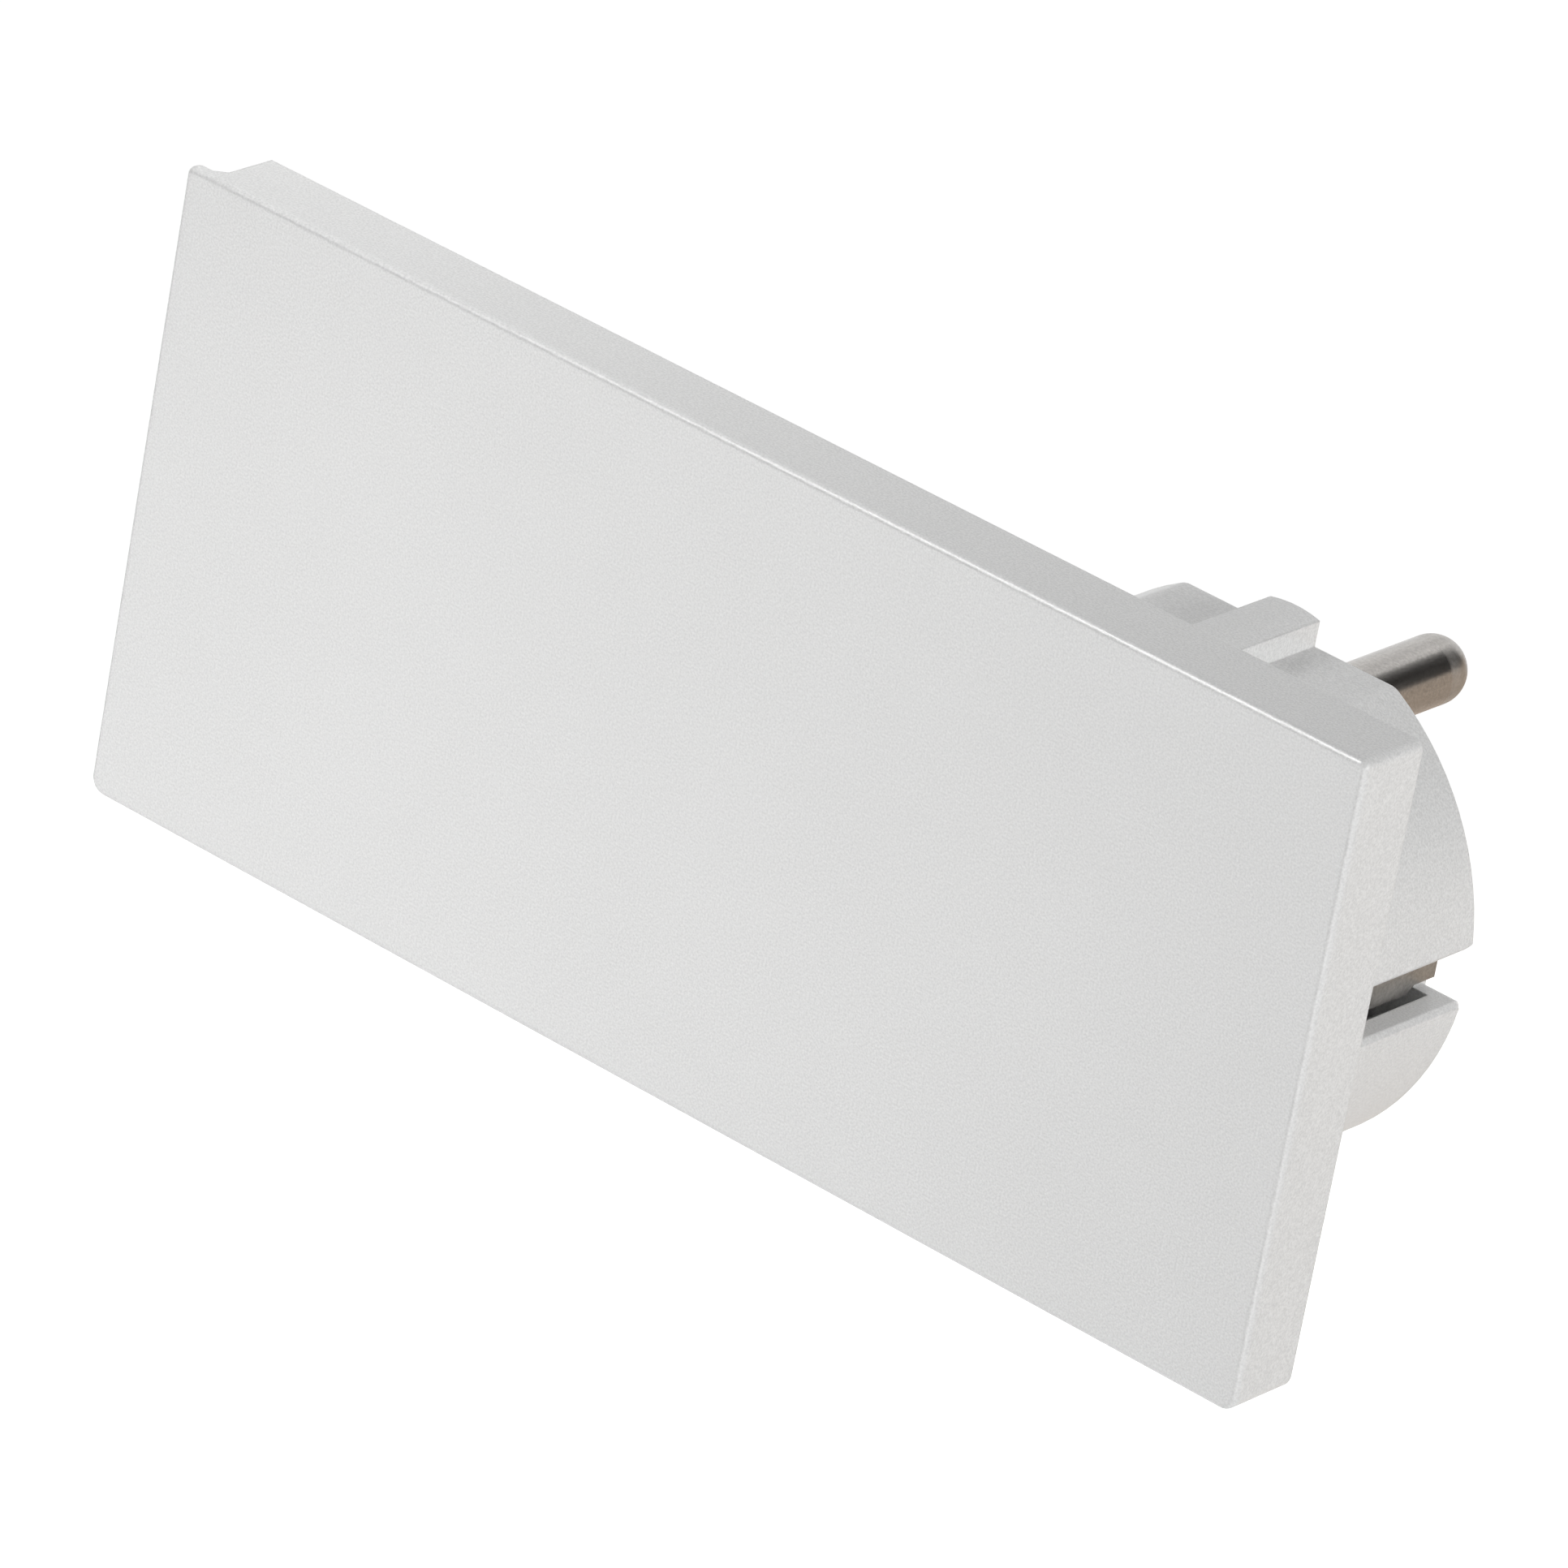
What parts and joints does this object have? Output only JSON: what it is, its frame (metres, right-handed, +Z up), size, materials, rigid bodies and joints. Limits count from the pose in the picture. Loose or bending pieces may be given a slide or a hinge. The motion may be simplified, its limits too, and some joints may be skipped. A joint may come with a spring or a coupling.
{
  "type": "flat low profile mains plug",
  "caption": "Flat low profile earthed mains plug: a long thin white cover with a round plug body and contact pins on its back, near one end, and a pull lip at the other.",
  "frame": {"origin": "on the plug axis, midway between the contact pins, in the plane of the cover's rear face, which is the plane of the wall socket's front", "axes": "+X along the cover towards the end that carries the plug body, +Y along the pins into the wall, +Z up as plugged in"},
  "size_m": [0.1, 0.0424, 0.0462],
  "materials": {
    "white_plastic": "satin",
    "nickel": "nickel plated, satin",
    "earth_metal": "tinned sheet",
    "brass": "turned",
    "zinc_steel": "zinc plated"
  },
  "bodies": {
    "root": {"front_cover": "white_plastic", "plug_base": "white_plastic", "upper_pin": "nickel", "lower_pin": "nickel", "terminal_screws": "zinc_steel", "earth_strip": "earth_metal", "earth_sleeve": "brass", "earth_screw": "zinc_steel", "earth_washer": "zinc_steel", "earth_nut": "brass", "cover_screws": "zinc_steel"}
  },
  "joints": []
}
